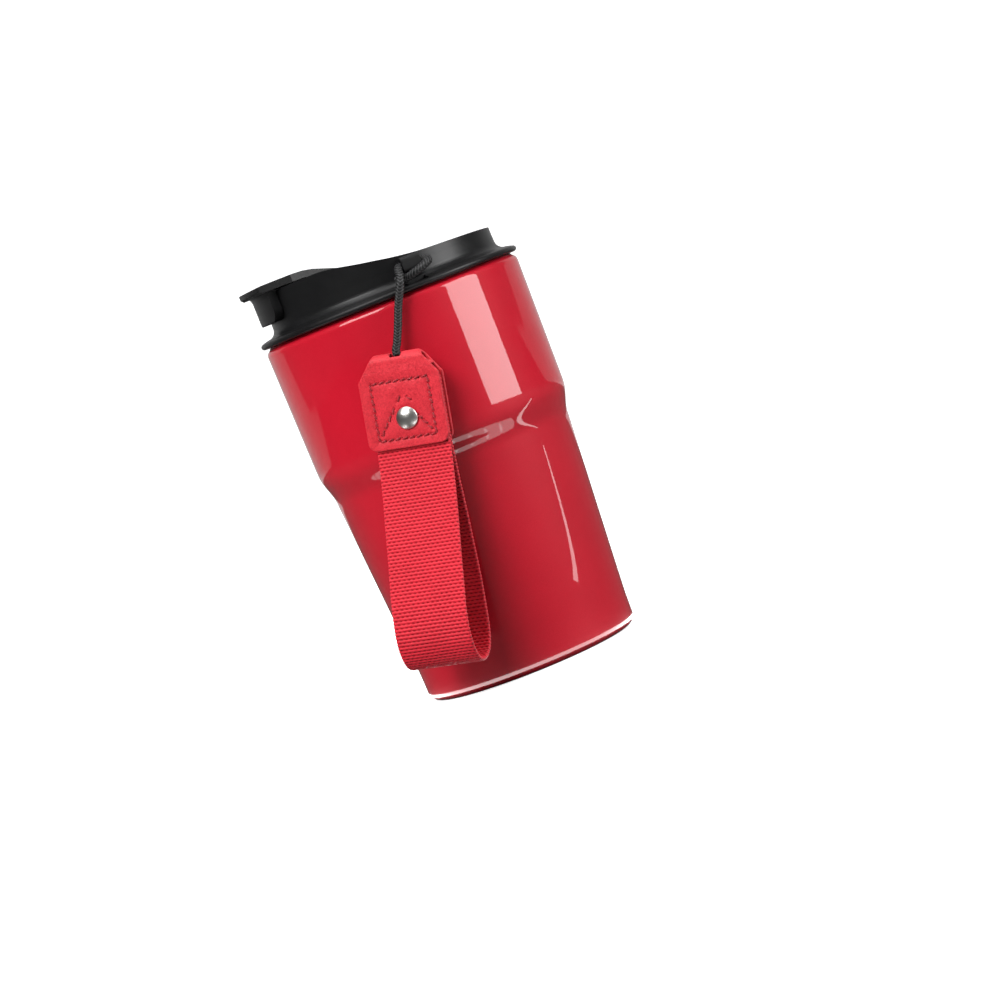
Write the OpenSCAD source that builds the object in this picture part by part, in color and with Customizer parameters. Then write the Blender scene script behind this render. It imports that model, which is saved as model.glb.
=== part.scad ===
// Insulated travel mug: double-wall steel body, screw lid with a flip flap,
// and a wrist strap that hangs from a lug on the lid.
// Z is the mug's axis, z = 0 is the face it stands on. The flap points to -X
// and the strap lug to -Y. Millimetres.

/* [Body] */
// Outer radius of the body just under the lid
top_r = 44; // [43.6:0.1:44.3]
// Outer radius just above the waist step
waist_r = 43.3; // [43:0.1:43.5]
// Outer radius just below the waist step
step_r = 40.8; // [40.4:0.1:41.2]
// Outer radius of the lower cone near the foot
foot_r = 36.2; // [35.8:0.1:36.6]
// Height of the waist step's middle
step_z = 77.2; // [72:0.1:82]
// Radius of the rounded foot corner
foot_fillet = 3.4; // [3:0.1:4.2]
// Thickness of each steel wall
wall_t = 0.6; // [0.5:0.05:0.7]

/* [Screw lid] */
// Radius of the lid's flange
flange_r = 44.9; // [44.6:0.1:45.1]
// Thickness of the flange's edge
flange_t = 2.3; // [2:0.1:2.6]
// Outer radius of the lid's neck wall
neck_r = 38.9; // [38.6:0.1:39.1]
// Height of the drinking rim
rim_front_z = 144.2; // [144:0.1:144.3]
// Height of the rear rim
rim_rear_z = 138.1; // [137.8:0.1:138.4]
// Lift of the lid for one full turn
lead = 9; // [8.6:0.1:9.4]
// Arc that each of the two thread starts covers, in degrees
thread_arc = 200; // [150:5:215]

/* [Flap] */
// Half width of the flap at the drinking rim
flap_half_w = 13.3; // [12.5:0.1:14]
// Half width of the skirt that snaps over the neck
skirt_half_w = 10.9; // [10:0.1:12]
// Height of the flap's top face
flap_top_z = 147.2; // [147:0.1:147.4]
// Radius of the thumb tab's outer edge
thumb_r = 45.5; // [45:0.1:47]

/* [Strap] */
// Width of the webbing
web_w = 24.6; // [20:0.2:25]
// Thickness of the webbing
web_t = 1.3; // [1.1:0.05:1.4]
// Width of the leather tab
tab_w = 27; // [26:0.2:28]
// Length of the leather tab
tab_h = 30; // [29:0.2:31]
// Thickness of the leather
leather_t = 1.2; // [1:0.05:1.3]
// Diameter of the braided cord
cord_d = 2.6; // [2:0.1:2.7]
// Radius of the rivet's domed cap
rivet_r = 3.6; // [3.2:0.1:4]

/* [Hidden] */
$fn = 96;
rim_z = 127.6;      // top of the steel body
fl_z = 127.8;       // underside of the lid's flange
liner_r = 41.4;     // inside of the mouth
plug_r = 39.9;      // outside of the lid's threaded plug
hinge_s = 4.5;      // flap hinge axis, distance from the mug's axis towards the flap
hinge_z = 138.4;
pin_r = 1;
strap_az = 37;      // the strap's face is turned this far from -Y towards -X
strap_lean = 11.2;  // it leans this far from straight down
strap_pitch = 4;    // and its lower end hangs this far out from the wall
tab_top = [-18.2, -45.3, 111.6];   // middle of the tab's folded top edge

steel = [0.72, 0.72, 0.74];
lacquer = [0.72, 0.05, 0.11];
black = [0.05, 0.05, 0.055];
leather = [0.78, 0.16, 0.18];
webcol = [0.80, 0.05, 0.12];

// ---------- helpers ----------
function lerp(a, b, t) = a + (b - a) * t;
function smooth(t) = t * t * (3 - 2 * t);
function arc(cx, cz, r, a0, a1, n) =
    [for (i = [0:n]) [cx + r * cos(lerp(a0, a1, i / n)), cz + r * sin(lerp(a0, a1, i / n))]];
function unit(v) = v / norm(v);
function rev(l) = [for (i = [len(l) - 1:-1:0]) l[i]];
// the path moved sideways by d, to the left of its direction
function side(p, i) =
    let (a = p[max(i - 1, 0)], b = p[min(i + 1, len(p) - 1)], t = unit(b - a)) [-t[1], t[0]];
function offset_path(p, d) = [for (i = [0:len(p) - 1]) p[i] + d * side(p, i)];
// Catmull-Rom curve through the points, n steps a span
function cr(a, b, c, d, t) =
    0.5 * ((2 * b) + (c - a) * t + (2 * a - 5 * b + 4 * c - d) * t * t + (3 * b - a - 3 * c + d) * t * t * t);
function curve(p, n) = concat(
    [for (i = [0:len(p) - 2]) for (k = [0:n - 1])
        cr(p[max(i - 1, 0)], p[i], p[i + 1], p[min(i + 2, len(p) - 1)], k / n)],
    [p[len(p) - 1]]);

// a tube along points
module tube(p, d, sides = 8) {
    n = len(p);
    f = carried(p, sides);
    pts = [for (i = [0:n - 1]) for (k = [0:sides - 1])
        p[i] + d / 2 * (f[i][0] * cos(360 * k / sides) + f[i][1] * sin(360 * k / sides))];
    faces = concat(
        [[for (k = [0:sides - 1]) k]],
        [for (i = [0:n - 2]) for (k = [0:sides - 1])
            [i * sides + k, (i + 1) * sides + k, (i + 1) * sides + (k + 1) % sides]],
        [for (i = [0:n - 2]) for (k = [0:sides - 1])
            [i * sides + k, (i + 1) * sides + (k + 1) % sides, i * sides + (k + 1) % sides]],
        [[for (k = [sides - 1:-1:0]) (n - 1) * sides + k]]);
    polyhedron(pts, faces);
}
// side directions carried along the path without twisting
function tangent(p, i) = unit(p[min(i + 1, len(p) - 1)] - p[max(i - 1, 0)]);
function first_side(t) = unit(cross(t, abs(t[2]) < 0.8 ? [0, 0, 1] : [0, 1, 0]));
function carry(p, i, u) =
    let (t = tangent(p, i), w = unit(u - (u * t) * t))
    i == len(p) - 1 ? [[w, cross(t, w)]] : concat([[w, cross(t, w)]], carry(p, i + 1, w));
function carried(p, sides) = carry(p, 0, first_side(tangent(p, 0)));

// ---------- body ----------
foot_flat = foot_r - foot_fillet + 0.05;
// the outer surface, from the foot ring up to the rim
outer_curve = concat(
    arc(foot_flat, foot_fillet, foot_fillet, -90, -3, 14),
    [for (i = [0:8]) [lerp(foot_r + 0.25, step_r - 0.15, i / 8), lerp(10, step_z - 7, i / 8)]],
    [for (i = [1:13]) [lerp(step_r - 0.05, waist_r - 0.1, smooth(i / 14)), step_z - 5.2 + 10.4 * i / 14]],
    [for (i = [0:6]) [lerp(waist_r, top_r, i / 6), lerp(step_z + 6.5, 124.6, i / 6)]],
    arc(top_r - 2.4, 124.9, 2.4, 4, 62, 7));

module outer_shell() {
    inner = offset_path(outer_curve, wall_t);
    n = len(outer_curve);
    tip = outer_curve[n - 1];
    color(lacquer) rotate_extrude()
        polygon(concat(
            [[29.1, 0.85], [29.5, 0.5], [30.6, 0.12], [31.6, 0]],
            outer_curve,
            [[42.37, rim_z]],
            [[42.37, rim_z - wall_t]],
            rev([for (i = [0:n - 3]) inner[i]]),
            [[31.6, 0.6], [30.7, 0.72], [29.9, 1], [29.7, 1.3], [29.7, 3.2], [29.1, 3.2]]));
}

liner_curve = concat(
    [[0.001, 7]],
    [for (i = [1:5]) [25 * i / 5, 7]],
    arc(25, 15, 8, -83, -4, 9),
    [[33.3, 20], [35.2, 47], [36.9, 71], [37.5, 77], [38.6, 84], [39.1, 98], [39.5, 111.6]],
    [[39.6, 112.4], [liner_r, 113.6]],
    [[liner_r, 118], [liner_r, 123]]);

// A helical rib: root and tip radii, widths there, from angle a0 over arc, rising with lead
module rib(root, tip, w_root, w_tip, a0, sweep, z0) {
    n = 44;
    m = 7;
    pts = [for (i = [0:n])
        let (a = a0 + sweep * i / n,
             z = z0 + lead * sweep / 360 * i / n,
             f = 0.12 + 0.88 * smooth(min(1, min(i, n - i) / m)),
             rt = lerp(root, tip, f), wt = lerp(w_root * 0.6, w_tip, f) / 2,
             wr = w_root / 2)
        for (q = [[root, -wr], [root, wr], [rt, wt], [rt, -wt]])
            [q[0] * cos(a), q[0] * sin(a), z + q[1]]];
    out = tip > root;
    quads = [for (i = [0:n - 1]) for (k = [0:3])
        [4 * i + k, 4 * i + (k + 1) % 4, 4 * i + 4 + (k + 1) % 4, 4 * i + 4 + k]];
    tris = [for (q = quads) each [[q[0], q[1], q[2]], [q[0], q[2], q[3]]]];
    ends = [[3, 2, 1, 0], [4 * n, 4 * n + 1, 4 * n + 2, 4 * n + 3]];
    all = concat(tris, ends);
    polyhedron(pts, out ? [for (f = all) rev(f)] : all);
}

thread_z = 118.6;
module inner_liner() {
    outer = offset_path(liner_curve, -wall_t);
    n = len(liner_curve);
    color(steel) union() {
        rotate_extrude()
            polygon(concat(
                [[0, 7]], [for (i = [1:n - 1]) liner_curve[i]],
                [[liner_r, rim_z - 0.3], [liner_r + 0.3, rim_z], [42.35, rim_z], [42.35, rim_z - wall_t],
                 [liner_r + wall_t + 0.02, rim_z - 1.3]],
                rev([for (i = [1:n - 1]) outer[i]]),
                [[0, 7 - wall_t]]));
        for (s = [0, 180])
            rib(liner_r + 0.25, liner_r - 1, 2.3, 1.1, s, thread_arc, thread_z);
    }
}

module base_plate() {
    // welded across the foot, domed up round the evacuation port
    color(steel) difference() {
        rotate_extrude() polygon([[1, 3.5], [5, 3.5], [7, 2.3], [29.08, 2.3], [29.08, 2.9],
                                  [7.3, 2.9], [5.2, 4.1], [1, 4.1]]);
    }
}
module vacuum_seal() {
    color([0.35, 0.36, 0.38]) union() {
        translate([0, 0, 3.3]) cylinder(r = 0.98, h = 1);
        translate([0, 0, 2.9]) cylinder(r1 = 2.4, r2 = 3, h = 0.58);
    }
}
module vacuum_getter() {
    color([0.5, 0.48, 0.46]) translate([17, 0, 2.95]) difference() {
        cylinder(r = 4.5, h = 1.6);
        translate([0, 0, 0.5]) cylinder(r = 3.6, h = 2);
    }
}
module base_cover() {
    color(steel) rotate_extrude()
        polygon([[0, 1.1], [24, 1.1], [24.6, 1.4], [29.08, 1.4], [29.08, 0.9], [24.9, 0.9], [24.2, 0.6], [0, 0.6]]);
}

// ---------- lid ----------
module lid_gasket() {
    color([0.16, 0.16, 0.17]) rotate_extrude()
        polygon([[38.75, 113.3], [39.4, 112.95], [40, 112.95], [40.2, 113.2], [39.75, 113.8], [39.75, 114.5],
                 [40.3, 114.9], [39.75, 115.3], [39.75, 115.9], [40.3, 116.3], [39.6, 116.45], [38.75, 116.45]]);
}

// Cross-section of the flange and neck: the flange's edge is round and a fillet leads up to the neck
neck_in = neck_r - 2.1;
module lid_ring(top) {
    rotate_extrude()
        polygon(concat(
            [[39.95, fl_z], [flange_r - 0.8, fl_z]],
            arc(flange_r - 0.95, fl_z + 0.95, 0.95, -60, 60, 6),
            [[flange_r - 1.4, fl_z + flange_t - 0.2], [neck_r + 3.1, fl_z + flange_t + 0.2]],
            arc(neck_r + 3, fl_z + flange_t + 3.1, 2.9, 262, 184, 7),
            [[neck_r, fl_z + 8], [neck_r - 0.1, top], [neck_in, top], [neck_in, 129.5], [39.95, 129.5]]));
}
// Height of the rim along the lid's symmetry plane, s from the rear to the flap
rim_pts = [[-50, rim_rear_z - 0.15], [-37, rim_rear_z], [-25, rim_rear_z + 0.2], [-12.7, rim_rear_z + 0.45], [-3, rim_rear_z + 0.8],
           [4.7, rim_rear_z + 1.65], [8.4, rim_rear_z + 2.25], [12, rim_rear_z + 2.95], [15.5, rim_rear_z + 3.6],
           [19, rim_front_z - 1.7], [23.3, rim_front_z - 0.7], [27, rim_front_z - 0.1], [31, rim_front_z], [50, rim_front_z]];
module above_rim() {
    // everything over the wave-shaped rim
    pts = curve(rim_pts, 3);
    rotate([90, 0, 0]) linear_extrude(110, center = true)
        polygon(concat([for (p = pts) [-p[0], p[1]]], [[-50, 160], [50, 160]]));
}
deck_pts = [[-38, 135.2], [-6, 135.2], [8, 135.2], [22, 141.2], [26, 142.2], [38, 142.2]];
module deck() {
    intersection() {
        translate([0, 0, 128]) cylinder(r = neck_r - 1, h = 20);
        rotate([90, 0, 0]) linear_extrude(110, center = true)
            polygon(concat([for (p = deck_pts) [-p[0], p[1]]], [for (p = rev(deck_pts)) [-p[0], p[1] - 2]]));
    }
}
spout_s = 31.2;
spout_l = 14;
spout_w = 5.4;
vent_s = 14;
module oblong(l, w, h) {
    linear_extrude(h) union() {
        square([w, l - w], center = true);
        for (y = [-1, 1]) translate([0, y * (l - w) / 2]) circle(w / 2, $fn = 32);
    }
}
lug_x = -1.9;
lug_y = -43.4;
lug_h = [133.3, 138.7];
module lid_shell() {
    color(black) difference() {
        union() {
            difference() {
                union() {
                    lid_ring(149);
                    deck();
                }
                above_rim();
            }
            // spout chimney and vent tube, down to the plug's floor
            translate([-spout_s, 0, 113.4]) oblong(spout_l + 3, spout_w + 3, 27.8);
            translate([-vent_s, 0, 113.4]) cylinder(r = 2.6, h = 26.4);
            // hinge ears
            for (y = [7.4, -10.4]) translate([-hinge_s, y, 0]) {
                translate([-2.6, 0, 134.6]) cube([5.2, 3, hinge_z - 134.6]);
                translate([0, 0, hinge_z]) rotate([-90, 0, 0]) cylinder(r = 2.6, h = 3, $fn = 40);
            }
            // strap lug
            difference() {
                hull() {
                    translate([lug_x - 3.3, lug_y + 1.3, lug_h[0]]) cube([6.6, 5.5, lug_h[1] - lug_h[0]]);
                    for (z = [lug_h[0] + 1.4, lug_h[1] - 1.4]) translate([lug_x - 3.2, lug_y + 1.3, z])
                        rotate([0, 90, 0]) cylinder(r = 1.3, h = 6.4, $fn = 32);
                }
                translate([0, 0, 130]) cylinder(r = neck_r - 1, h = 20);
            }
        }
        // spout and vent passages
        translate([-spout_s, 0, 110]) oblong(spout_l, spout_w, 40);
        translate([-vent_s, 0, 110]) cylinder(r = 1.2, h = 40);
        // pin holes
        translate([-hinge_s, -11, hinge_z]) rotate([-90, 0, 0]) cylinder(r = pin_r, h = 22, $fn = 40);
        // tunnel through the lug for the cord
        translate([lug_x - 6, lug_y + 0.85, lug_h[0] + 1.2]) cube([12, 3.4, 3]);
        // recess in the flange under the lug
        translate([lug_x - 3.5, -44, fl_z + 1.7]) cube([7, 4.2, 3]);
    }
}

module lid_plug() {
    color(black) union() {
        difference() {
            rotate_extrude()
                polygon([[0, 112.4], [38.9, 112.4], [38.9, 112.8], [38.43, 112.92], [38.43, 116.55], [plug_r, 116.55],
                         [plug_r, 129.5], [37.4, 129.5], [37.4, 114.4], [0, 114.4]]);
            // passages, and pockets that take the ends of the shell's two tubes
            translate([-spout_s, 0, 110]) oblong(spout_l, spout_w, 10);
            translate([-spout_s, 0, 113.4]) oblong(spout_l + 3.04, spout_w + 3.04, 3);
            translate([-vent_s, 0, 110]) cylinder(r = 1.2, h = 10);
            translate([-vent_s, 0, 113.4]) cylinder(r = 2.62, h = 3);
        }
        for (s = [0, 180])
            rib(plug_r - 0.25, plug_r + 1.05, 2.1, 1.0, s + 32, thread_arc, thread_z + (32 / 360 - 0.19) * lead);
    }
}

// ---------- flap ----------
module flap_pin() {
    color([0.6, 0.6, 0.62]) translate([-hinge_s, -10.4, hinge_z]) rotate([-90, 0, 0]) cylinder(r = pin_r, h = 20.8, $fn = 40);
}
// side view of the flap, s outwards and z up: the crowned plate over the rim and the arm down to the hinge
flap_side = [[2.6, 138.2], [2.4, 139.4], [3.2, 140.5], [5.4, 141.1], [16, 144.1], [20, 145.3], [23.7, flap_top_z - 0.8],
             [27.5, flap_top_z - 0.15], [31, flap_top_z], [38, flap_top_z], [42.5, flap_top_z - 0.05], [thumb_r, flap_top_z - 0.25], [thumb_r + 3, flap_top_z - 0.5],
             [thumb_r + 3, 145.6], [43.4, 145.5], [42.6, 144.75], [27.5, 144.75], [25, 144.2], [7.4, 139.1]];
module flap() {
    half = asin(flap_half_w / 42.4);
    color(black) difference() {
        union() {
            intersection() {
                rotate([90, 0, 0]) linear_extrude(2 * flap_half_w, center = true)
                    polygon([for (p = flap_side) [-p[0], p[1]]]);
                // plan: round thumb edge, parallel sides, tapering to the hinge
                translate([0, 0, 130]) linear_extrude(20) intersection() {
                    circle(thumb_r);
                    polygon([[-60, -flap_half_w], [-32, -flap_half_w], [-8, -7], [5, -7],
                             [5, 7], [-8, 7], [-32, flap_half_w], [-60, flap_half_w]]);
                }
            }
            // hinge barrel
            translate([-hinge_s, -7, hinge_z]) rotate([-90, 0, 0]) cylinder(r = 2.4, h = 14, $fn = 40);
            // skirt that hangs outside the neck
            intersection() {
                rotate_extrude() polygon([[39.35, 134.8], [41.9, 134.8], [42.15, 135.1], [42.15, 143], [42.4, 144.2],
                                          [42.9, 145], [43.6, 145.45], [43.6, 145.9], [39.35, 145.9]]);
                rotate([90, 0, -90]) linear_extrude(60) hull() {
                    translate([-skirt_half_w, 139]) square([2 * skirt_half_w, 8]);
                    for (y = [-1, 1]) translate([y * (skirt_half_w - 4.5), 139]) circle(4.5, $fn = 40);
                }
            }
            // bosses that hold the two stoppers
            translate([-spout_s, 0, 144.2]) oblong(10, 3.8, 1);
            translate([-vent_s, 0, 140.6]) cylinder(r = 2.6, h = 1.6);
        }
        translate([-hinge_s, -8, hinge_z]) rotate([-90, 0, 0]) cylinder(r = pin_r + 0.05, h = 16, $fn = 40);
        // seats of the stoppers' necks
        translate([-spout_s, 0, 143]) oblong(7, 2, 2.6);
        translate([-vent_s, 0, 139]) cylinder(r = 1.2, h = 3.1);
        translate([-vent_s, 0, 139]) cylinder(r = 2.7, h = 1.6);
    }
}
module spout_stopper() {
    color([0.2, 0.2, 0.21]) union() {
        translate([-spout_s, 0, 144.1]) oblong(6.98, 1.98, 1.4);
        translate([-spout_s, 0, 142.6]) oblong(13.8, 5.2, 1.6);
        translate([-spout_s, 0, 140.4]) oblong(13.2, 4.7, 2.3);
    }
}
module vent_stopper() {
    color([0.2, 0.2, 0.21]) union() {
        translate([-vent_s, 0, 140.5]) cylinder(r = 1.18, h = 1.5);
        translate([-vent_s, 0, 139.95]) cylinder(r = 2, h = 0.65);
    }
}

// ---------- strap ----------
sn0 = [-sin(strap_az), -cos(strap_az), 0];
sw = [cos(strap_az), -sin(strap_az), 0];
st0 = -sin(strap_lean) * sw - cos(strap_lean) * [0, 0, 1];
st = cos(strap_pitch) * st0 + sin(strap_pitch) * sn0;  // down the strap
sn = cos(strap_pitch) * sn0 - sin(strap_pitch) * st0;  // outwards
sv = cross(st, sn);                                    // across, square to both
// strap coordinates: x across, y outwards, z up along the strap, origin at the fold's crest
module on_strap() {
    m = [[-sv[0], sn[0], -st[0], tab_top[0]],
         [-sv[1], sn[1], -st[1], tab_top[1]],
         [-sv[2], sn[2], -st[2], tab_top[2]],
         [0, 0, 0, 1]];
    multmatrix(m) children();
}
function sp(p) = tab_top + p[0] * (-sv) + p[1] * sn - p[2] * st;
core = 2 * web_t + 0.24;             // gap between the two leather panels
ply = web_t / 2 + 0.1;               // middle of each webbing ply inside the tab
half_t = core / 2 + leather_t;
module tab_outline() {
    polygon(concat([[7.6, 0], [tab_w / 2, -8]],
        arc(tab_w / 2 - 3, -tab_h + 3, 3, 0, -90, 6),
        arc(-tab_w / 2 + 3, -tab_h + 3, 3, -90, -180, 6),
        [[-tab_w / 2, -8], [-7.6, 0]]));
}
rivet_x = 0.8;
rivet_t = 20.8;      // the rivet's distance down from the crest
web_x = 0.7;         // the webbing sits a little to one side of the tab's middle
module leather_tab() {
    color(leather) on_strap() difference() {
        intersection() {
            rotate([90, 0, 0]) linear_extrude(10, center = true) tab_outline();
            union() {
                for (y = [-1, 1]) translate([-15, y * (core / 2 + leather_t / 2) - leather_t / 2, -tab_h])
                    cube([30, leather_t, tab_h - half_t]);
                translate([0, 0, -half_t]) rotate([0, 90, 0]) cylinder(r = half_t, h = 30, center = true, $fn = 40);
            }
        }
        translate([0, 0, -half_t]) rotate([0, 90, 0]) cylinder(r = core / 2, h = 32, center = true, $fn = 40);
        translate([-16, -core / 2, -half_t - 1.5]) cube([32, core, 1.5]);
        // slot in the crest where the cord goes in
        translate([-1.8, -0.5, -5]) cube([3.6, 2.6, 6]);
        translate([rivet_x, 0, -rivet_t]) rotate([90, 0, 0]) cylinder(r = 1.3, h = 12, center = true, $fn = 32);
    }
}
// the loop's middle line in the outward/up plane, from the front ply inside the tab round to the back ply
web_bag = [[ply, -30.5], [2.6, -42], [6.4, -57], [10.4, -71], [13.2, -82.5],
            [12.9, -91], [8.9, -97.2], [3, -99], [-2.8, -96.6], [-5.8, -90.5], [-6.4, -82.5], [-5.9, -71], [-4.2, -57], [-2.1, -42],
            [-ply, -30.5]];
module webbing_loop() {
    line = concat([[ply, -9], [ply, -20], [ply, -29]], curve(web_bag, 4), [[-ply, -29], [-ply, -20], [-ply, -9]]);
    n = len(line);
    a = offset_path(line, web_t / 2);
    b = offset_path(line, -web_t / 2);
    color(webcol) on_strap() difference() {
        translate([web_x, 0, 0]) rotate([90, 0, 90]) linear_extrude(web_w, center = true) polygon(concat(a, rev(b)));
        translate([rivet_x, 0, -rivet_t]) rotate([90, 0, 0]) cylinder(r = 1.3, h = 8, center = true, $fn = 32);
    }
}
module rivet_cap() {
    color([0.8, 0.8, 0.82]) on_strap() translate([rivet_x, half_t, -rivet_t]) rotate([-90, 0, 0]) difference() {
        rotate_extrude() polygon(concat([[0, 0], [rivet_r - 0.3, 0], [rivet_r, 0.3]], arc(0, -3.75, 5.5, 46, 90, 6)));
        translate([0, 0, -1]) cylinder(r = 1.05, h = 1.8, $fn = 32);
    }
}
module rivet_post() {
    color([0.7, 0.7, 0.72]) on_strap() translate([rivet_x, 0, -rivet_t]) rotate([-90, 0, 0]) union() {
        translate([0, 0, -half_t]) cylinder(r = 1.0, h = 2 * half_t + 0.7, $fn = 32);
        translate([0, 0, -half_t - 0.7]) cylinder(r1 = rivet_r - 0.6, r2 = rivet_r - 0.2, h = 0.7, $fn = 48);
    }
}
// straight rows of stitches from a to b on both faces
module stitches(a, b) {
    l = norm(b - a);
    n = round(l / 2.4);
    ang = atan2(b[1] - a[1], b[0] - a[0]);
    for (i = [0:n - 1]) let (c = a + (b - a) * (i + 0.5) / n)
        for (y = [half_t, -half_t - 0.32])
            translate([c[0], y, c[1]]) rotate([0, -ang, 0]) translate([-0.85, 0, -0.25]) cube([1.7, 0.32, 0.5]);
}
module stitching() {
    q = [[-9.6, -8.8], [9.6, -8.8], [9.6, -27], [-9.6, -27]];
    color([0.7, 0.06, 0.12]) on_strap() {
        for (i = [0:3]) stitches(q[i], q[(i + 1) % 4]);
        stitches([-8.6, -25.6], [-4.3, -20.2]);
        stitches([8.6, -25.6], [4.3, -20.2]);
        stitches([-1.9, -15.6], [-0.2, -13.6]);
    }
}

// ---------- cord ----------
// Up over the flange's edge, through the lug's tunnel, round its right end, back across its front
// and round the standing part
hitch_pts = [[-9.3, -46.1, 130.2], [-8.6, -45.9, 131.6], [-7.7, -44.9, 133.3], [-7, -43.2, 135], [-5.6, -41.25, 136], [-2.4, -40.65, 136.1],
             [0.9, -40.75, 136], [3.1, -41.9, 135.6], [3.3, -43.8, 134.9], [1.2, -45.15, 134], [-2.2, -44.9, 132.9], [-5.2, -43, 132.1],
             [-8.6, -41.5, 132.2]];
strand_pts = [[-10.9, -45.8, 127], [-12.1, -45.6, 124.6], [-14.4, -45.6, 119.4], [-16.8, -45.6, 114.4], [-17.8, -45.7, 112.3]];
module cord_hitch() { color(black) tube(curve(hitch_pts, 2), cord_d); }
module cord_strands() { color(black) tube(curve(strand_pts, 2), cord_d); }

outer_shell();
inner_liner();
base_plate();
base_cover();
vacuum_getter();
vacuum_seal();
lid_gasket();
lid_shell();
lid_plug();
flap_pin();
flap();
spout_stopper();
vent_stopper();
cord_hitch();
cord_strands();
leather_tab();
webbing_loop();
rivet_cap();
rivet_post();
stitching();
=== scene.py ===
import math

import bmesh
import bpy
import numpy as np
from mathutils import Matrix, Vector


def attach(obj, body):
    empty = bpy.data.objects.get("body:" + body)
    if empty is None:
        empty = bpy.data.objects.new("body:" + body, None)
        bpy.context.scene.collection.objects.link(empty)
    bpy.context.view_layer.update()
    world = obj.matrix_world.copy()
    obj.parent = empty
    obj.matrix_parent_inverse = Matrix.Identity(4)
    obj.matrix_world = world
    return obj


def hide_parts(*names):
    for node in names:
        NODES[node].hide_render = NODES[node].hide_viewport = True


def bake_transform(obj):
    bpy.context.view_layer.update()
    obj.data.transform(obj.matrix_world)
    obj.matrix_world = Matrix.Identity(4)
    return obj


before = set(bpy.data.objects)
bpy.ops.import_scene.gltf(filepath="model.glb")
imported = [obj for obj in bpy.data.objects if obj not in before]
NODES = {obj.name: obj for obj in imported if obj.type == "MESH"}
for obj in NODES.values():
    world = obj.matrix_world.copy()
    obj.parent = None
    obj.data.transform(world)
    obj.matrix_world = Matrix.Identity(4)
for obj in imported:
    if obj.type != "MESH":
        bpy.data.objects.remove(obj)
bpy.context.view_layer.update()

MM = 0.001
COLLECTION = bpy.context.scene.collection
rad = math.radians


# ---------------------------------------------------------------- camera
def make_camera():
    yaw, pitch, roll = rad(0.4928), rad(3.3271), rad(-21.75)
    fwd = Vector((math.sin(yaw), math.cos(yaw), 0))
    right = Vector((math.cos(yaw), -math.sin(yaw), 0))
    up = Vector((0, 0, 1))
    f2 = fwd * math.cos(pitch) - up * math.sin(pitch)
    u2 = up * math.cos(pitch) + fwd * math.sin(pitch)
    r3 = right * math.cos(roll) + u2 * math.sin(roll)
    u3 = -right * math.sin(roll) + u2 * math.cos(roll)
    turn = Matrix.Rotation(rad(-17), 4, "Z")
    m = Matrix.Identity(4)
    for i in range(3):
        m[i][0], m[i][1], m[i][2] = r3[i], u3[i], -f2[i]
    m[0][3], m[1][3], m[2][3] = 0, -1.083, 0.1165
    data = bpy.data.cameras.new("camera")
    data.sensor_width = 36
    data.lens = 3294.06 / 1000 * 36
    data.clip_start, data.clip_end = 0.01, 50
    cam = bpy.data.objects.new("camera", data)
    cam.matrix_world = turn @ m
    COLLECTION.objects.link(cam)
    bpy.context.scene.camera = cam


make_camera()


# ---------------------------------------------------------------- mesh helpers
def mesh_object(name, verts, faces, uvs=None, smooth=True):
    me = bpy.data.meshes.new(name)
    me.from_pydata([tuple(map(float, v)) for v in verts], [], [tuple(map(int, f)) for f in faces])
    if uvs is not None:
        layer = me.uv_layers.new(name="UVMap")
        index = np.empty(len(me.loops), np.int64)
        me.loops.foreach_get("vertex_index", index)
        layer.data.foreach_set("uv", np.asarray(uvs, np.float32)[index].ravel())
    me.update()
    if smooth:
        me.polygons.foreach_set("use_smooth", np.ones(len(me.polygons), bool))
    ob = bpy.data.objects.new(name, me)
    COLLECTION.objects.link(ob)
    return ob


def catmull(points, n):
    p = [np.array(q, float) for q in points]
    out = []
    for i in range(len(p) - 1):
        a, b, c, d = p[max(i - 1, 0)], p[i], p[i + 1], p[min(i + 2, len(p) - 1)]
        for k in range(n):
            t = k / n
            out.append(0.5 * (2 * b + (c - a) * t + (2 * a - 5 * b + 4 * c - d) * t * t
                              + (3 * b - a - 3 * c + d) * t ** 3))
    out.append(p[-1])
    return np.array(out)


def even(points, step):
    """The same line with points a step apart."""
    s = np.r_[0, np.cumsum(np.linalg.norm(np.diff(points, axis=0), axis=1))]
    t = np.linspace(0, s[-1], max(2, int(round(s[-1] / step)) + 1))
    return np.column_stack([np.interp(t, s, points[:, k]) for k in range(points.shape[1])]), t


def frames(path, side0):
    """Two side directions at each point, carried along without twisting."""
    tan = np.gradient(path, axis=0)
    tan /= np.linalg.norm(tan, axis=1)[:, None]
    a = np.empty_like(path)
    u = np.array(side0, float)
    for i, t in enumerate(tan):
        u = u - (u @ t) * t
        u /= np.linalg.norm(u)
        a[i] = u
    return tan, a, np.cross(tan, a)


def grid_faces(rows, cols, closed=True):
    i, k = np.meshgrid(np.arange(rows - 1), np.arange(cols if closed else cols - 1), indexing="ij")
    k2 = (k + 1) % cols if closed else k + 1
    return np.stack([i * cols + k, i * cols + k2, (i + 1) * cols + k2, (i + 1) * cols + k], -1).reshape(-1, 4)


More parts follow.
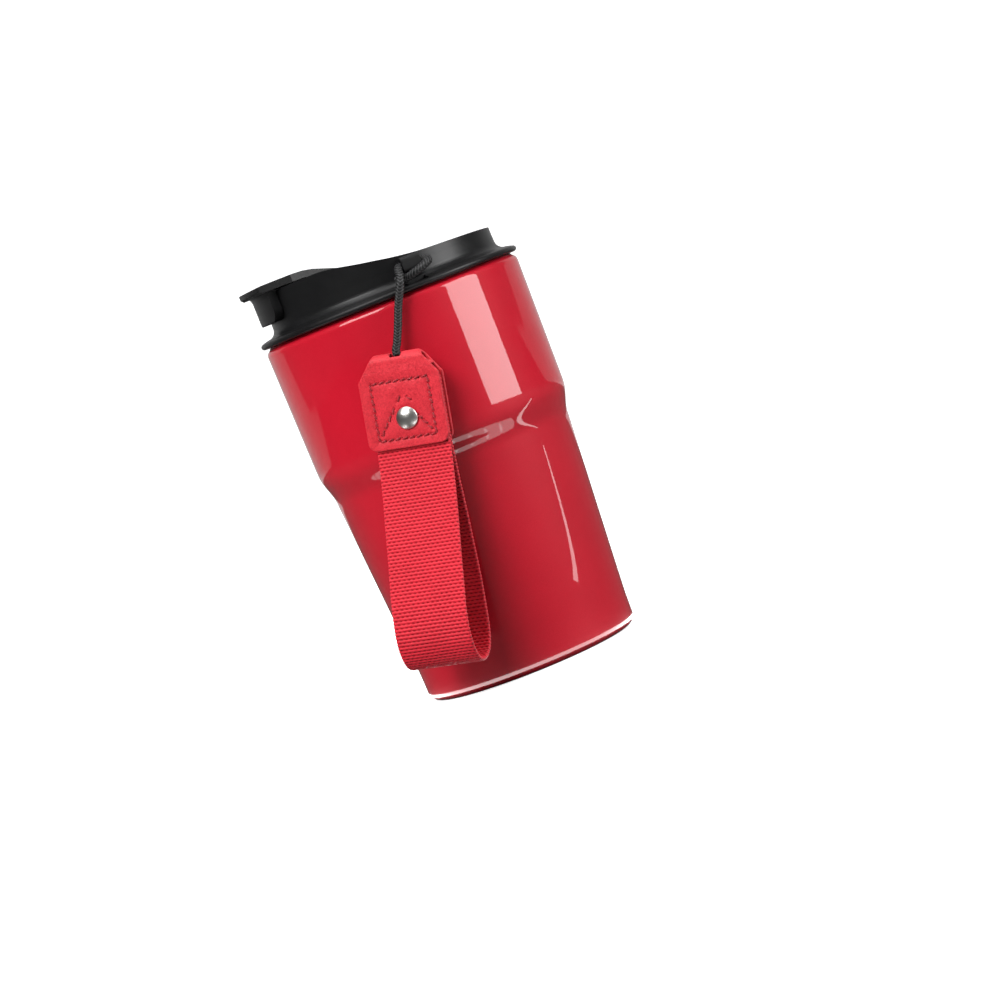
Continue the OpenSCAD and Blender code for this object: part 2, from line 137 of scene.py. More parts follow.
# ---------------------------------------------------------------- the strap's own coordinates
AZ, LEAN, PITCH = rad(37), rad(11.2), rad(4)
TAB_TOP = np.array([-18.2, -45.3, 111.6])
sn0 = np.array([-math.sin(AZ), -math.cos(AZ), 0])
sw = np.array([math.cos(AZ), -math.sin(AZ), 0])
st0 = -math.sin(LEAN) * sw - math.cos(LEAN) * np.array([0, 0, 1])
ST = math.cos(PITCH) * st0 + math.sin(PITCH) * sn0
SN = math.cos(PITCH) * sn0 - math.sin(PITCH) * st0
SV = np.cross(ST, SN)
STRAP = np.column_stack([-SV, SN, -ST])          # across, outwards, up


def on_strap(p):
    return (TAB_TOP + np.asarray(p, float) @ STRAP.T) * MM


def in_strap(p):
    return (np.asarray(p, float) / MM - TAB_TOP) @ STRAP


# ---------------------------------------------------------------- the cord
HITCH = [[-9.3, -46.1, 130.2], [-8.6, -45.9, 131.6], [-7.7, -44.9, 133.3], [-7, -43.2, 135],
         [-5.6, -41.25, 136], [-2.4, -40.65, 136.1], [0.9, -40.75, 136], [3.1, -41.9, 135.6],
         [3.3, -43.8, 134.9], [1.2, -45.15, 134], [-2.2, -44.9, 132.9], [-5.2, -43, 132.1],
         [-8.6, -41.5, 132.2]]
STRAND = [[-10.9, -45.8, 127], [-12.1, -45.6, 124.6], [-14.4, -45.6, 119.4], [-16.8, -45.6, 114.4],
          [-18.1, -45.75, 112.3], [-18.55, -45.85, 110.6]]


def make_cord():
    line = catmull(HITCH[::-1] + STRAND, 12)
    path, s = even(line, 0.085)
    sides = 56
    # carried from the free strand up into the hitch, so that the strand shows the middle of a plait
    front = np.array([-0.292, -0.956, 0.0])
    tan, a, b = frames(path[::-1], front)
    a, b = a[::-1], b[::-1]
    ang = 2 * np.pi * np.arange(sides) / sides
    u = np.arange(sides) / sides * 4                          # four columns of slanted yarns
    zig = np.abs((u + 0.0) % 2 - 1)                           # their slant turns at each column's edge
    pitch = 0.98
    phase = s[:, None] / pitch - 1.5 * zig[None, :]
    yarn = np.abs(np.cos(np.pi * phase)) ** 0.8               # round yarns side by side
    edge = np.abs(((u + 0.5) % 1) - 0.5)[None, :] * 2         # dips where two columns meet
    r = 1.39 * (0.87 + 0.13 * yarn * (0.45 + 0.55 * np.minimum(1, 1.6 * edge))
                      + 0.012 * np.sin(s[:, None] * 2.1 + 3 * ang[None, :]))
    pts = path[:, None, :] + r[..., None] * (a[:, None, :] * np.cos(ang)[None, :, None]
                                             + b[:, None, :] * np.sin(ang)[None, :, None])
    n = len(path)
    verts = pts.reshape(-1, 3) * MM
    faces = [tuple(f) for f in grid_faces(n, sides)]
    faces.append(tuple(range(sides)))
    faces.append(tuple(range(n * sides - 1, (n - 1) * sides - 1, -1)))
    # painted shade: the UV's first value holds each yarn's height, so the colour can darken in the gaps between yarns
    uv = np.stack([np.broadcast_to(yarn, (n, sides)) * 0.98 + 0.01,
                   np.broadcast_to(phase * 0.05 % 1, (n, sides))], -1).reshape(-1, 2)
    ob = mesh_object("braided_cord", verts, faces, uv)
    fix_normals(ob)
    thin, _ = even(path, 1.0)
    thin = thin * MM
    length = float(np.linalg.norm(np.diff(path, axis=0), axis=1).sum()) * MM
    return ob, thin, length


def fix_normals(ob):
    bm = bmesh.new()
    bm.from_mesh(ob.data)
    bmesh.ops.recalc_face_normals(bm, faces=bm.faces)
    bm.to_mesh(ob.data)
    bm.free()


cord_ob, cord_path, cord_length = make_cord()
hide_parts("cord_hitch", "cord_strands")
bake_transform(cord_ob)


# ---------------------------------------------------------------- the lacquered shell, turned finely
def arc(cx, cz, r, a0, a1, n):
    return [[cx + r * math.cos(rad(a0 + (a1 - a0) * i / n)), cz + r * math.sin(rad(a0 + (a1 - a0) * i / n))] for i in range(n + 1)]


def make_shell():
    top_r, waist_r, step_r, foot_r, step_z, fil, wall = 44, 43.3, 40.8, 36.2, 77.2, 3.4, 0.6
    flat = foot_r - fil + 0.05
    low = arc(flat, fil, fil, -90, -3, 28)
    cone = [[foot_r + 0.25 + (step_r - 0.4 - foot_r) * i / 20, 10 + (step_z - 17) * i / 20] for i in range(21)]
    step = [[step_r - 0.05 + (waist_r - 0.05 - step_r) * (t * t * (3 - 2 * t)), step_z - 5.2 + 10.4 * t] for t in np.arange(1, 28) / 28]
    high = [[waist_r + (top_r - waist_r) * i / 14, step_z + 6.5 + (124.6 - step_z - 6.5) * i / 14] for i in range(15)]
    mid = np.array(low[-6:] + cone + step + high)
    mid, _ = even(mid, 0.3)
    keep = mid.copy()
    for _ in range(14):
        mid[1:-1] = 0.25 * mid[:-2] + 0.5 * mid[1:-1] + 0.25 * mid[2:]
    w = np.clip((keep[:, 1] - 5) / 4, 0, 1)[:, None]
    mid = keep * (1 - w) + mid * w
    shoulder = arc(top_r - 2.4, 124.9, 2.4, 4, 62, 18)
    outer = np.vstack([low[:-6], mid, shoulder])
    d = np.gradient(outer, axis=0)
    d /= np.linalg.norm(d, axis=1)[:, None]
    inner = outer + wall * np.column_stack([-d[:, 1], d[:, 0]])
    prof = np.vstack([[[29.1, 0.85], [29.5, 0.5], [30.6, 0.12], [31.6, 0]], outer, [[42.37, 127.6], [42.37, 127.0]],
                      inner[::-6][1:-1], [[31.6, 0.6], [30.7, 0.72], [29.9, 1], [29.7, 1.3], [29.7, 3.2], [29.1, 3.2]]])
    n = 224
    t = 2 * np.pi * np.arange(n) / n
    verts = np.stack([prof[:, :1] * np.cos(t), prof[:, :1] * np.sin(t), np.broadcast_to(prof[:, 1:], (len(prof), n))], -1).reshape(-1, 3)
    faces = [tuple(f) for f in grid_faces(len(prof), n)]
    last = (len(prof) - 1) * n
    faces += [(last + k, last + (k + 1) % n, (k + 1) % n, k) for k in range(n)]
    ob = mesh_object("shell_lacquered", verts * MM, faces)
    fix_normals(ob)
    ob.data.set_sharp_from_angle(angle=rad(38))
    return ob


shell_ob = make_shell()
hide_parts("outer_shell")
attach(shell_ob, "mug")


# ---------------------------------------------------------------- the webbing loop
WEB_W, WEB_T, WEB_X = 24.6, 1.3, 0.7
PLY = WEB_T / 2 + 0.1
BAG = [[PLY, -30.5], [2.6, -42], [6.4, -57], [10.4, -71], [13.2, -82.5], [12.9, -91], [8.9, -97.2], [3, -99],
       [-2.8, -96.6], [-5.8, -90.5], [-6.4, -82.5], [-5.9, -71], [-4.2, -57], [-2.1, -42], [-PLY, -30.5]]
ROW, COL = 1.14, 1.6


def make_webbing():
    line = np.vstack([[[PLY, -9.2], [PLY, -20], [PLY, -29]], catmull(BAG, 16), [[-PLY, -29], [-PLY, -20], [-PLY, -9.2]]])
    path, v = even(line, ROW / 6.5)
    # the middle of the curve, smoothed so that the ribs fan evenly round the bends
    for _ in range(30):
        path[1:-1] = 0.25 * path[:-2] + 0.5 * path[1:-1] + 0.25 * path[2:]
    tan = np.gradient(path, axis=0)
    tan /= np.linalg.norm(tan, axis=1)[:, None]
    nor = np.column_stack([-tan[:, 1], tan[:, 0]])            # to the left of the direction: outwards on the front ply
    half, th = WEB_W / 2, WEB_T / 2
    nx, ne = 80, 5
    x = np.linspace(-half + 0.55, half - 0.55, nx)
    edge = np.linspace(-90, 90, ne + 2)[1:-1]
    # one ring round the strip: outer side left to right, right edge, inner side right to left, left edge
    ring_x = np.r_[x, half - 0.55 + 0.55 * np.cos(np.radians(edge)), x[::-1], -half + 0.55 - 0.55 * np.cos(np.radians(edge))]
    ring_y = np.r_[np.full(nx, 1.0), -np.sin(np.radians(edge)), np.full(nx, -1.0), np.sin(np.radians(edge))]
    m = len(ring_x)
    row = v[:, None] / ROW
    k = np.floor(row)
    rib = (0.5 + 0.5 * np.cos(2 * np.pi * (row - k - 0.5)))            # 1 on a rib, 0 between two
    gap_row = np.round(row)
    hole = 0.5 + 0.5 * np.cos(2 * np.pi * (ring_x[None, :] / COL - 0.5 * gap_row))
    inner = 0.5 + 0.5 * np.cos(2 * np.pi * (ring_x[None, :] / COL - 0.5 * gap_row - 0.5))
    side = np.where(ring_y >= 0, 1.0, 0.0)[None, :]
    open_ = hole * side + inner * (1 - side)
    depth = (1 - rib) ** 2.0 * (0.30 + 0.70 * open_ ** 1.1)
    lump = 0.10 * np.cos(2 * np.pi * (ring_x[None, :] / COL - 0.5 * k + 0.5)) * rib
    flat = np.clip(1.2 * (half - 0.9 - np.abs(ring_x)) + 1, 0.35, 1)[None, :]
    wave = 0.10 * np.sin(v[:, None] * 0.09 + 0.7) * np.sin(ring_x[None, :] * 0.21 + v[:, None] * 0.035)
    y = ring_y[None, :] * (th - 0.36 * depth * flat + 0.10 * (rib - 0.6) * flat + lump * 0.6 * flat) * np.ones_like(row)
    in_tab = np.clip((path[:, 1] + 31.5) / 1.5, 0, 1)[:, None]
    y = y * (1 - 0.06 * in_tab) + wave * (1 - in_tab)
    xs = ring_x[None, :] * (1 + 0.0022 * np.sin(v[:, None] * 0.31)) + 0.12 * np.sign(ring_x)[None, :] * (rib - 0.5) * (np.abs(ring_x)[None, :] > half - 0.6)
    local = np.stack([xs + WEB_X, path[:, :1] + nor[:, :1] * y, path[:, 1:] + nor[:, 1:] * y], -1)
    verts = on_strap(local.reshape(-1, 3))
    n = len(path)
    faces = [tuple(f) for f in grid_faces(n, m)]
    faces.append(tuple(range(m)))
    faces.append(tuple(range(n * m - 1, (n - 1) * m - 1, -1)))
    # painted shade: how deep each point sits between the ribs and in the weave's holes, kept in the UV's first value to
    # darken the colour there
    shade = np.clip(1 - depth * 0.95, 0, 1)
    uv = np.stack([np.broadcast_to(shade, (n, m)), (v[:, None] / 400 + np.zeros((1, m)))], -1).reshape(-1, 2)
    ob = mesh_object("webbing_woven", verts, faces, uv)
    fix_normals(ob)
    layer = ob.data.uv_layers.new(name="Yarn")
    index = np.empty(len(ob.data.loops), np.int64)
    ob.data.loops.foreach_get("vertex_index", index)
    yarn = np.stack([np.broadcast_to(ring_x[None, :] / 30, (n, m)), np.broadcast_to(v[:, None] / 300, (n, m))], -1).reshape(-1, 2)
    layer.data.foreach_set("uv", yarn.astype(np.float32)[index].ravel())
    return ob, float(v[-1]) * MM


web_ob, web_length = make_webbing()
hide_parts("webbing_loop")
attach(web_ob, "strap")


# ---------------------------------------------------------------- stitches and the leather tab
HALF_T = (2 * WEB_T + 0.24) / 2 + 1.2
RIVET = np.array([0.8, -20.8])
RIVET_R = 3.6
BOX = [[-9.6, -8.8], [9.6, -8.8], [9.6, -27], [-9.6, -27]]
SEAMS = [(BOX[i], BOX[(i + 1) % 4]) for i in range(4)] + [([-8.6, -25.6], [-2.8, -17.2]), ([8.6, -25.6], [4.3, -20.2]),
                                                          ([-1.9, -15.6], [-0.2, -13.6])]


def stitch_list():
    out = []
    for a, b in SEAMS + [([3.5, -15.9], [1.5, -13.8])]:
        a, b = np.array(a, float), np.array(b, float)
        n = round(np.linalg.norm(b - a) / 2.4)
        d = (b - a) / np.linalg.norm(b - a)
        out += [(a + (b - a) * (i + 0.5) / n, d) for i in range(n)]
    return out


STITCHES = stitch_list()


def tab_surface(x, z, front=True):
    """How far the leather's face stands in or out of its flat face, in mm."""
    p = np.column_stack([x, z])
    near = np.full(len(p), 9.0)
    for a, b in SEAMS:
        a, b = np.array(a, float), np.array(b, float)
        t = np.clip(((p - a) @ (b - a)) / ((b - a) @ (b - a)), 0, 1)
        near = np.minimum(near, np.linalg.norm(p - a - t[:, None] * (b - a), axis=1))
    ends = np.full(len(p), 9.0)
    for c, d in STITCHES:
        for e in (-1, 1):
            ends = np.minimum(ends, np.linalg.norm(p - (c + e * 0.86 * d), axis=1))
    pad = 0.20 * (1 - np.exp(-(near / 1.7) ** 2))
    groove = -0.06 * np.exp(-(near / 0.6) ** 2)
    hole = -0.45 * np.exp(-(ends / 0.36) ** 2)
    r = np.linalg.norm(p - RIVET, axis=1)
    pull = -0.28 * np.exp(-(np.maximum(r - RIVET_R + 0.6, 0) / 1.1) ** 2) if front else 0
    soft = 0.05 * np.sin(x * 0.9 + 1.3 * np.sin(z * 0.33)) * np.sin(z * 0.7 + 0.5)
    return pad + groove + hole + pull + soft - 0.08


def make_tab():
    src = NODES["leather_tab"]
    ob = bpy.data.objects.new("leather_tab_sewn", src.data.copy())
    COLLECTION.objects.link(ob)
    ob.data.materials.clear()
    m = ob.modifiers.new("grow", "REMESH")
    m.mode, m.voxel_size = "VOXEL", 0.00017
    s = ob.modifiers.new("soft", "SMOOTH")
    s.factor, s.iterations = 0.6, 12
    bpy.context.view_layer.update()
    dg = bpy.context.evaluated_depsgraph_get()
    me = bpy.data.meshes.new_from_object(ob.evaluated_get(dg))
    ob.modifiers.clear()
    ob.data = me
    co = np.empty(len(me.vertices) * 3, np.float32)
    me.vertices.foreach_get("co", co)
    q = in_strap(co.reshape(-1, 3))
    core = HALF_T - 1.2
    y = q[:, 1]
    for sign in (1, -1):
        outer = (y * sign > core + 0.35)
        w = np.clip((y * sign - core - 0.35) / 0.6, 0, 1) * outer
        fall = np.clip((-q[:, 2] - 3.4) / 2.5, 0, 1)
        q[:, 1] += sign * w * fall * tab_surface(q[:, 0], q[:, 2], sign > 0)
    # the panels' lower edges and sides draw in a little towards the webbing, as sewn leather does
    rim = np.clip((np.abs(q[:, 0]) - 11.2) / 2.3, 0, 1) ** 2
    q[:, 1] -= np.sign(q[:, 1]) * 0.10 * rim * np.clip((-q[:, 2] - 4) / 2, 0, 1)
    me.vertices.foreach_set("co", on_strap(q).astype(np.float32).ravel())
    me.polygons.foreach_set("use_smooth", np.ones(len(me.polygons), bool))
    me.update()
    return ob


tab_ob = make_tab()
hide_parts("leather_tab")
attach(tab_ob, "strap")


def make_stitches():
    verts, faces, uvs = [], [], []
    sides = 8
    along = [(-0.90, -0.42), (-0.82, -0.12), (-0.58, 0.10), (-0.22, 0.16),
             (0.22, 0.16), (0.58, 0.10), (0.82, -0.12), (0.90, -0.42)]
    for j, (c, d) in enumerate(STITCHES):
        for sign in (1, -1):
            tilt = sign * 0.36 + 0.05 * math.sin(j * 2.399)
            dd = np.array([d[0] * math.cos(tilt) - d[1] * math.sin(tilt), d[0] * math.sin(tilt) + d[1] * math.cos(tilt)])
            line = catmull([(c[0] + dd[0] * s, sign * (HALF_T - 0.14 + h), c[1] + dd[1] * s) for s, h in along], 2)
            tan, a, b = frames(line, (-dd[1], 0, dd[0]))
            base = len(verts)
            for i, p in enumerate(line):
                r = 0.27 * (0.75 + 0.25 * math.sin(math.pi * i / (len(line) - 1)))
                for k in range(sides):
                    t = 2 * math.pi * k / sides
                    verts.append(p + r * (a[i] * math.cos(t) * 1.1 + b[i] * math.sin(t) * 0.85))
                    uvs.append((k / sides, i / (len(line) - 1)))
            faces += [tuple(base + f) for f in grid_faces(len(line), sides)]
            faces.append(tuple(base + np.arange(sides)))
            faces.append(tuple(base + (len(line) - 1) * sides + np.arange(sides)[::-1]))
    ob = mesh_object("stitch_thread", on_strap(np.array(verts)), faces, uvs)
    fix_normals(ob)
    return ob


thread_ob = make_stitches()
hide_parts("stitching")
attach(thread_ob, "strap")


def make_rivet_cap():
    prof = [(0.0, 0.0), (RIVET_R - 0.35, 0.0), (RIVET_R - 0.08, 0.07), (RIVET_R, 0.28), (RIVET_R - 0.04, 0.42)]
    top = 1.76
    a0 = math.degrees(math.atan2(0.42 + 3.75, RIVET_R - 0.04))
    rr = 5.51
    for t in np.linspace(a0, 90, 26)[1:]:
        prof.append((max(rr * math.cos(rad(t)), 0.0), rr * math.sin(rad(t)) - 3.75))
    n = 96
    verts, faces = [], []
    ring = prof[1:-1]
    for r, h in ring:
        for k in range(n):
            t = 2 * math.pi * k / n
            verts.append((RIVET[0] + r * math.cos(t), HALF_T + h, RIVET[1] + r * math.sin(t)))
    faces += [tuple(f) for f in grid_faces(len(ring), n)]
    verts.append((RIVET[0], HALF_T + prof[-1][1], RIVET[1]))
    last = (len(ring) - 1) * n
    faces += [(last + k, last + (k + 1) % n, len(verts) - 1) for k in range(n)]
    faces.append(tuple(range(n - 1, -1, -1)))
    ob = mesh_object("rivet_dome", on_strap(np.array(verts)), faces)
    fix_normals(ob)
    return ob


rivet_ob = make_rivet_cap()
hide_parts("rivet_cap")
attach(rivet_ob, "strap")


# ---------------------------------------------------------------- materials
class Mat:
    def __init__(self, name, **const):
        self.m = bpy.data.materials.new(name)
        self.m.use_nodes = True
        self.t = self.m.node_tree
        self.t.nodes.clear()
        self.out = self.add("ShaderNodeOutputMaterial")
        self.b = self.add("ShaderNodeBsdfPrincipled")
        self.link(self.b.outputs[0], self.out.inputs[0])
        for k, v in const.items():
            self.b.inputs[k].default_value = v
        self._obj = None

    def add(self, kind, **props):
        n = self.t.nodes.new(kind)
        for k, v in props.items():
            setattr(n, k, v)
        return n

    def link(self, a, b):
        self.t.links.new(a, b)

    def put(self, socket, v):
        if hasattr(v, "links") or hasattr(v, "is_output"):
            self.link(v, socket)
        else:
            socket.default_value = v

    def obj(self):
        if self._obj is None:
            self._obj = self.add("ShaderNodeTexCoord").outputs["Object"]
        return self._obj

    def scaled(self, sx, sy, sz, vec=None):
        n = self.add("ShaderNodeMapping")
        n.inputs["Scale"].default_value = (sx, sy, sz)
        self.link(vec or self.obj(), n.inputs["Vector"])
        return n.outputs[0]

    def noise(self, scale, detail=2.0, rough=0.5, vec=None):
        n = self.add("ShaderNodeTexNoise")
        n.inputs["Scale"].default_value = scale
        n.inputs["Detail"].default_value = detail
        n.inputs["Roughness"].default_value = rough
        self.link(vec or self.obj(), n.inputs["Vector"])
        return n.outputs[0]

    def voronoi(self, scale, feature="F1", vec=None, rand=1.0):
        n = self.add("ShaderNodeTexVoronoi", feature=feature)
        n.inputs["Scale"].default_value = scale
        n.inputs["Randomness"].default_value = rand
        self.link(vec or self.obj(), n.inputs["Vector"])
        return n.outputs["Distance"]

    def math(self, op, a, b=0.0, c=None):
        n = self.add("ShaderNodeMath", operation=op)
        self.put(n.inputs[0], a)
        self.put(n.inputs[1], b)
        if c is not None:
            self.put(n.inputs[2], c)
        return n.outputs[0]

    def span(self, src, a, b, lo, hi):
        n = self.add("ShaderNodeMapRange")
        for i, v in enumerate((a, b, lo, hi)):
            n.inputs[i + 1].default_value = v
        self.link(src, n.inputs[0])
        return n.outputs[0]

    def ramp(self, src, *stops):
        n = self.add("ShaderNodeValToRGB")
        e = n.color_ramp.elements
        while len(e) < len(stops):
            e.new(0.5)
        for i, (p, c) in enumerate(stops):
            e[i].position, e[i].color = p, (*c, 1)
        self.link(src, n.inputs[0])
        return n.outputs[0]

    def mix(self, fac, a, b, mode="MIX"):
        n = self.add("ShaderNodeMix", data_type="RGBA", blend_type=mode)
        self.put(n.inputs[0], fac)
        for i, v in ((6, a), (7, b)):
            if isinstance(v, tuple):
                n.inputs[i].default_value = (*v, 1)
            else:
                self.link(v, n.inputs[i])
        return n.outputs[2]

    def bump(self, height, strength, distance, normal=None):
        n = self.add("ShaderNodeBump")
        n.inputs["Strength"].default_value = strength
        n.inputs["Distance"].default_value = distance
        self.link(height, n.inputs["Height"])
        if normal is not None:
            self.link(normal, n.inputs["Normal"])
        return n.outputs[0]

    def colour(self, v):
        self.link(v, self.b.inputs["Base Color"])

    def rough(self, v):
        self.link(v, self.b.inputs["Roughness"])

    def normal(self, v, coat=False):
        self.link(v, self.b.inputs["Normal"])
        if coat:
            self.link(v, self.b.inputs["Coat Normal"])


def lacquer():
    m = Mat("red_lacquer", **{"Metallic": 0.0, "Specular IOR Level": 0.10, "Coat Weight": 0.9, "Coat Roughness": 0.03,
                              "Coat IOR": 1.5})
    fine = m.noise(5200, 2, 0.6)
    slow = m.noise(38, 3, 0.55)
    c = m.ramp(fine, (0.30, (0.385, 0.0045, 0.0150)), (0.52, (0.425, 0.0058, 0.0178)), (0.72, (0.475, 0.0078, 0.0215)))
    d = m.ramp(slow, (0.35, (0.93, 0.93, 0.93)), (0.65, (1.0, 1.0, 1.0)))
    m.colour(m.mix(1.0, c, d, "MULTIPLY"))
    m.rough(m.span(m.noise(160, 3, 0.6), 0.3, 0.7, 0.38, 0.47))
    peel = m.noise(420, 2, 0.45)
    b = m.bump(peel, 0.012, 0.0004)
    m.link(b, m.b.inputs["Coat Normal"])
    m.link(m.bump(fine, 0.05, 0.0001), m.b.inputs["Normal"])
    return m.m


def brushed(name, colour, ring, low=0.22, high=0.38):
    m = Mat(name, **{"Metallic": 1.0})
    vec = m.obj()
    if ring:
        sep = m.add("ShaderNodeSeparateXYZ")
        m.link(vec, sep.inputs[0])
        r = m.math("SQRT", m.math("ADD", m.math("MULTIPLY", sep.outputs[0], sep.outputs[0]),
                                  m.math("MULTIPLY", sep.outputs[1], sep.outputs[1])))
        comb = m.add("ShaderNodeCombineXYZ")
        m.link(m.math("MULTIPLY", r, 2600.0), comb.inputs[0])
        m.link(m.math("MULTIPLY", sep.outputs[2], 2600.0), comb.inputs[1])
        grain = m.noise(1.0, 3, 0.7, comb.outputs[0])
    else:
        grain = m.noise(900, 4, 0.7, m.scaled(1, 0.08, 1))
    blot = m.noise(60, 3, 0.6)
    c = m.ramp(grain, (0.25, tuple(0.86 * v for v in colour)), (0.75, colour))
    m.colour(m.mix(1.0, c, m.ramp(blot, (0.3, (0.9, 0.9, 0.92)), (0.7, (1.0, 1.0, 1.0))), "MULTIPLY"))
    m.rough(m.span(m.math("ADD", m.math("MULTIPLY", grain, 0.7), m.math("MULTIPLY", blot, 0.3)), 0.3, 0.7, low, high))
    m.normal(m.bump(grain, 0.12, 0.00004))
    return m.m


def plastic(name, colour, rough=(0.30, 0.40), coarse=2600, depth=0.00005):
    m = Mat(name, **{"Metallic": 0.0, "Specular IOR Level": 0.30, "IOR": 1.5})
    spark = m.noise(coarse, 3, 0.6)
    slow = m.noise(55, 3, 0.6)
    m.colour(m.ramp(m.math("ADD", m.math("MULTIPLY", spark, 0.6), m.math("MULTIPLY", slow, 0.4)),
                    (0.35, tuple(0.75 * v for v in colour)), (0.65, tuple(1.25 * v for v in colour))))
    m.rough(m.span(m.math("ADD", m.math("MULTIPLY", spark, 0.35), m.math("MULTIPLY", slow, 0.65)), 0.35, 0.65, *rough))
    m.normal(m.bump(spark, 0.22, depth))
    return m.m


def silicone():
    m = Mat("silicone_dark", **{"Specular IOR Level": 0.35, "Sheen Weight": 0.15, "Sheen Roughness": 0.6})
    f = m.noise(1500, 3, 0.6)
    m.colour(m.ramp(f, (0.3, (0.020, 0.020, 0.022)), (0.7, (0.034, 0.034, 0.037))))
    m.rough(m.span(m.noise(90, 3, 0.6), 0.3, 0.7, 0.52, 0.68))
    m.normal(m.bump(f, 0.2, 0.00006))
    return m.m


def braid():
    m = Mat("cord_braid", **{"Specular IOR Level": 0.3})
    uv = m.add("ShaderNodeUVMap", uv_map="UVMap")
    sep = m.add("ShaderNodeSeparateXYZ")
    m.link(uv.outputs[0], sep.inputs[0])
    fibre = m.noise(7000, 3, 0.7, m.scaled(1, 1, 0.25))
    # painted shade: the colour is near black in the gaps between the yarns and brighter on their crowns
    c = m.ramp(sep.outputs[0], (0.50, (0.0004, 0.0004, 0.0004)), (0.82, (0.006, 0.006, 0.0063)), (0.99, (0.060, 0.060, 0.062)))
    m.colour(m.mix(1.0, c, m.ramp(fibre, (0.3, (0.65, 0.65, 0.65)), (0.7, (1.0, 1.0, 1.0))), "MULTIPLY"))
    m.rough(m.span(fibre, 0.3, 0.7, 0.38, 0.55))
    m.normal(m.bump(fibre, 0.5, 0.00006))
    return m.m


def leather():
    m = Mat("leather_coral", **{"Specular IOR Level": 0.30, "Sheen Weight": 0.04, "Sheen Roughness": 0.5})
    cell = m.voronoi(2300, "SMOOTH_F1")
    fine = m.noise(5200, 3, 0.6)
    mid = m.noise(900, 4, 0.6)
    slow = m.noise(110, 4, 0.6)
    grain = m.math("ADD", m.math("MULTIPLY", cell, -0.55),
                   m.math("ADD", m.math("MULTIPLY", fine, 0.35), m.math("MULTIPLY", mid, 0.75)))
    c = m.ramp(grain, (0.06, (0.37, 0.010, 0.019)), (0.34, (0.51, 0.017, 0.029)), (0.62, (0.60, 0.027, 0.040)))
    d = m.ramp(slow, (0.3, (0.88, 0.84, 0.84)), (0.7, (1.0, 1.0, 1.0)))
    m.colour(m.mix(1.0, c, d, "MULTIPLY"))
    m.rough(m.span(m.math("ADD", m.math("MULTIPLY", grain, 0.5), m.math("MULTIPLY", slow, 0.5)), 0.2, 0.8, 0.46, 0.62))
    m.normal(m.bump(grain, 0.60, 0.00014, m.bump(slow, 0.25, 0.0005)))
    return m.m


def webbing():
    m = Mat("webbing_polyester", **{"Specular IOR Level": 0.25, "Sheen Weight": 0.04, "Sheen Roughness": 0.4})
    uv = m.add("ShaderNodeUVMap", uv_map="UVMap")
    sep = m.add("ShaderNodeSeparateXYZ")
    m.link(uv.outputs[0], sep.inputs[0])
    yarn = m.add("ShaderNodeUVMap", uv_map="Yarn")
    # filaments run along each rib's yarn, slightly on the slant
    w = m.add("ShaderNodeTexNoise")
    w.inputs["Scale"].default_value = 1.0
    w.inputs["Detail"].default_value = 3
    mp = m.add("ShaderNodeMapping")
    mp.inputs["Scale"].default_value = (30 / 0.13, 300 / 1.3, 1)
    mp.inputs["Rotation"].default_value = (0, 0, 0.25)
    m.link(yarn.outputs[0], mp.inputs[0])
    m.link(mp.outputs[0], w.inputs["Vector"])
    strand = w.outputs[0]
    fuzz = m.noise(5200, 3, 0.65)
    slow = m.noise(140, 3, 0.6)
    # painted shade: the colour darkens where the UV's first value is low, in the dips between the ribs and the weave's
    # holes
    c = m.ramp(sep.outputs[0], (0.08, (0.13, 0.001, 0.004)), (0.45, (0.36, 0.005, 0.014)), (0.9, (0.63, 0.021, 0.038)))
    d = m.ramp(m.math("ADD", m.math("MULTIPLY", strand, 0.65), m.math("MULTIPLY", slow, 0.35)),
               (0.32, (0.74, 0.70, 0.70)), (0.62, (1.0, 1.0, 1.0)))
    m.colour(m.mix(1.0, c, d, "MULTIPLY"))
    m.rough(m.span(strand, 0.3, 0.7, 0.44, 0.60))
    m.normal(m.bump(strand, 0.45, 0.00010, m.bump(fuzz, 0.25, 0.00005)))
    return m.m


def thread():
    m = Mat("thread_tonal", **{"Specular IOR Level": 0.4, "Sheen Weight": 0.2, "Sheen Roughness": 0.4})
    uv = m.add("ShaderNodeUVMap", uv_map="UVMap")
    w = m.add("ShaderNodeTexWave", wave_type="BANDS", bands_direction="DIAGONAL")
    w.inputs["Scale"].default_value = 5.0
    w.inputs["Distortion"].default_value = 1.0
    m.link(uv.outputs[0], w.inputs["Vector"])
    m.colour(m.ramp(w.outputs[0], (0.0, (0.20, 0.003, 0.010)), (1.0, (0.40, 0.010, 0.020))))
    m.rough(m.span(m.noise(4000, 2), 0.3, 0.7, 0.4, 0.55))
    m.normal(m.bump(w.outputs[0], 0.5, 0.00008))
    return m.m


def metal(name, colour, low, high, wear=0.85, scale=900):
    m = Mat(name, **{"Metallic": 1.0})
    scratch = m.noise(scale, 5, 0.75, m.scaled(1, 0.22, 1))
    blot = m.noise(320, 3, 0.6)
    m.colour(m.ramp(blot, (0.3, tuple(wear * v for v in colour)), (0.65, colour)))
    m.rough(m.span(m.math("ADD", m.math("MULTIPLY", scratch, 0.6), m.math("MULTIPLY", blot, 0.4)), 0.3, 0.7, low, high))
    m.normal(m.bump(scratch, 0.05, 0.00004))
    return m.m


def paint(ob, material):
    if not ob.material_slots:
        ob.data.materials.append(material)
    for s in ob.material_slots:
        s.material = material


